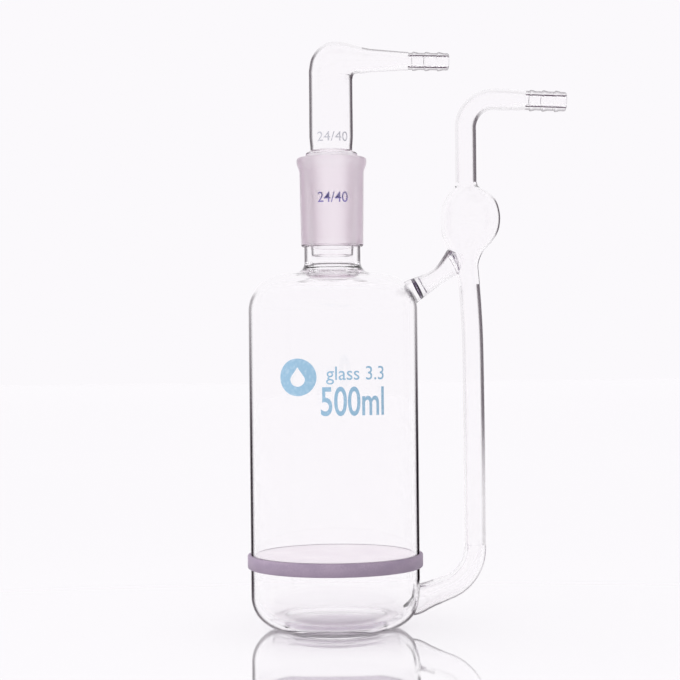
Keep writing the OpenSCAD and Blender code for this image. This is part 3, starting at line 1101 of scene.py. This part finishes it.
def wrap(bm, left, right, low, high, radius):
    """Fits a flat mark between two places and bends it round a tube."""
    xs = [v.co.x for v in bm.verts]
    ys = [v.co.y for v in bm.verts]
    zs = [v.co.z for v in bm.verts]
    grow_x = (right - left) / (max(xs) - min(xs))
    grow_y = (high - low) / (max(ys) - min(ys))
    bmesh.ops.translate(bm, vec=(-min(xs), -min(ys), -min(zs)), verts=bm.verts)
    bmesh.ops.scale(bm, vec=(grow_x, grow_y, 1), verts=bm.verts)
    bmesh.ops.translate(bm, vec=(left, low, 0), verts=bm.verts)
    cut = left + STRIP
    while cut < right:
        bmesh.ops.bisect_plane(
            bm, geom=[*bm.verts, *bm.edges, *bm.faces], dist=1e-5,
            plane_co=(cut, 0, 0), plane_no=(1, 0, 0))
        cut += STRIP
    for v in bm.verts:
        turn, reach = v.co.x / radius, radius + SKIN / 2 + v.co.z
        v.co = (reach * math.sin(turn), -reach * math.cos(turn), v.co.y)
    return bm


# %% [markdown]
# ## The marks in place
# Two blue lines of text and a disc stand on the body, and a joint size on
# the socket and on the adapter. A mark's width is given as it looks from
# the front, so it is first spread out to its length round the tube.

# %% Put the marks on
def arc_x(x, radius):
    """How far round the tube a point lies that shows x from the middle."""
    return radius * math.asin(x / radius)


# Name, flat mark, left, right, low, high, radius, enamel, body
MARKS = (
    ("mark_volume", lettering("500ml"), -5.6, 22.4, 99.6, 112.6, body_r,
     blue_enamel, "bottle"),
    ("mark_glass", lettering("glass 3.3", 0.03), -3.2, 22.4, 113.6, 121.6, body_r,
     blue_enamel, "bottle"),
    ("mark_drop", drop_disc(8), -23.6, -7.4, 108.5, 125.2, body_r,
     blue_enamel, "bottle"),
    ("mark_socket", lettering("24/40", 0.04), -6.4, 7.3, 196.4, 201.2, 14.66,
     violet_enamel, "bottle"),
    ("mark_adapter", lettering("24/40", 0.0), -6.3, 7.4, 224.9, 229.3, adapter_r,
     grey_enamel, "outlet_adapter"),
)
for name, flat, left, right, low, high, radius, enamel, body_name in MARKS:
    flat = wrap(flat, arc_x(left, radius), arc_x(right, radius), low, high, radius)
    finish_piece(flat, name, [enamel], body_name)

# %% [markdown]
# ## The floor
# A sheet of white acrylic. It returns all the light that it gets, so it
# runs into the white wall behind without a line. Its polish mirrors the
# bottle, more strongly at a low view than from above. Half of the finish is
# metallic, because the polish alone would show the bottle too faintly.

# %% Lay the floor
FLOOR_HALF = 6
BELOW_FOOT = 0.0002
floor_mesh = bpy.data.meshes.new("floor")
bm = bmesh.new()
bmesh.ops.create_grid(bm, x_segments=1, y_segments=1, size=FLOOR_HALF)
bmesh.ops.translate(bm, vec=(0, 0, -BELOW_FOOT), verts=bm.verts)
bm.to_mesh(floor_mesh)
bm.free()
floor = bpy.data.objects.new("floor", floor_mesh)
bpy.context.collection.objects.link(floor)
acrylic, tree, shader = new_finish(
    "white_acrylic", (1, 1, 1), 0.035, IOR=2.0, Metallic=0.5)
floor_mesh.materials.append(acrylic)
floor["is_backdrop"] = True
print("floor:", 2 * FLOOR_HALF, "m across")

# %% [markdown]
# ## The light
# The studio is a white tent, so glass sees white from every side. Matt
# surfaces see a stronger light from the left than from the right, which
# gives the disc's rim its shading. Light that is caught inside the glass is
# mirrored many times before it gets out, and a ray that is given up too
# early leaves a dark smear, so the limits on bounces are high.

# %% Make the white tent
WHITE = (0.965, 0.947, 0.973, 1)
STRONG_SIDE = (-0.95, -0.1, 0.2)
WEAK, STRONG = 0.12, 1.88
GLASS_BOUNCES = 48
world = bpy.data.worlds.new("white_tent")
bpy.context.scene.world = world
world.use_nodes = True
tree = world.node_tree
ray = put(tree, "ShaderNodeTexCoord").outputs["Generated"]
along = put(tree, "ShaderNodeVectorMath", {0: ray, 1: STRONG_SIDE},
            operation="DOT_PRODUCT").outputs["Value"]
bright = ramp(tree, along, -1, 1, WEAK, STRONG, smooth=False)
diffuse = put(tree, "ShaderNodeLightPath").outputs["Is Diffuse Ray"]
strength = put(tree, "ShaderNodeMix", {"Factor": diffuse, 2: 1.0, 3: bright}).outputs[0]
lamp = tree.nodes["Background"]
lamp.inputs["Color"].default_value = WHITE
tree.links.new(strength, lamp.inputs["Strength"])

scene = bpy.context.scene
scene.view_settings.view_transform = "Standard"
scene.cycles.blur_glossy = 0
scene.cycles.max_bounces = 64
scene.cycles.transmission_bounces = GLASS_BOUNCES
scene.cycles.glossy_bounces = GLASS_BOUNCES
scene.cycles.transparent_max_bounces = GLASS_BOUNCES
scene.cycles.diffuse_bounces = 6
print("light:", world.name, "with up to", GLASS_BOUNCES, "bounces in the glass")

# %% [markdown]
# ## The camera
# A long lens at the height of the bottle's middle, level, a good arm's
# length away, as for a catalogue picture.

# %% Set the camera
camera_data = bpy.data.cameras.new("camera")
camera_data.lens, camera_data.sensor_width = 90, 36
camera_data.shift_y = 0.0147
camera = bpy.data.objects.new("camera", camera_data)
bpy.context.collection.objects.link(camera)
camera.location = (0.0031, -0.79, 0.1288)
camera.rotation_euler = (math.radians(90), math.radians(0.58), 0)
scene.camera = camera
print("camera:", camera_data.lens, "mm lens at", tuple(camera.location))

# %% [markdown]
# ## The visual box
# The visual model's box, over every piece that is shown, is measured and
# printed in millimetres.

# %% Print the visual box, and finish
low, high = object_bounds()
print("visual box in mm:", [round(1000 * v, 1) for v in (*low, *high)])
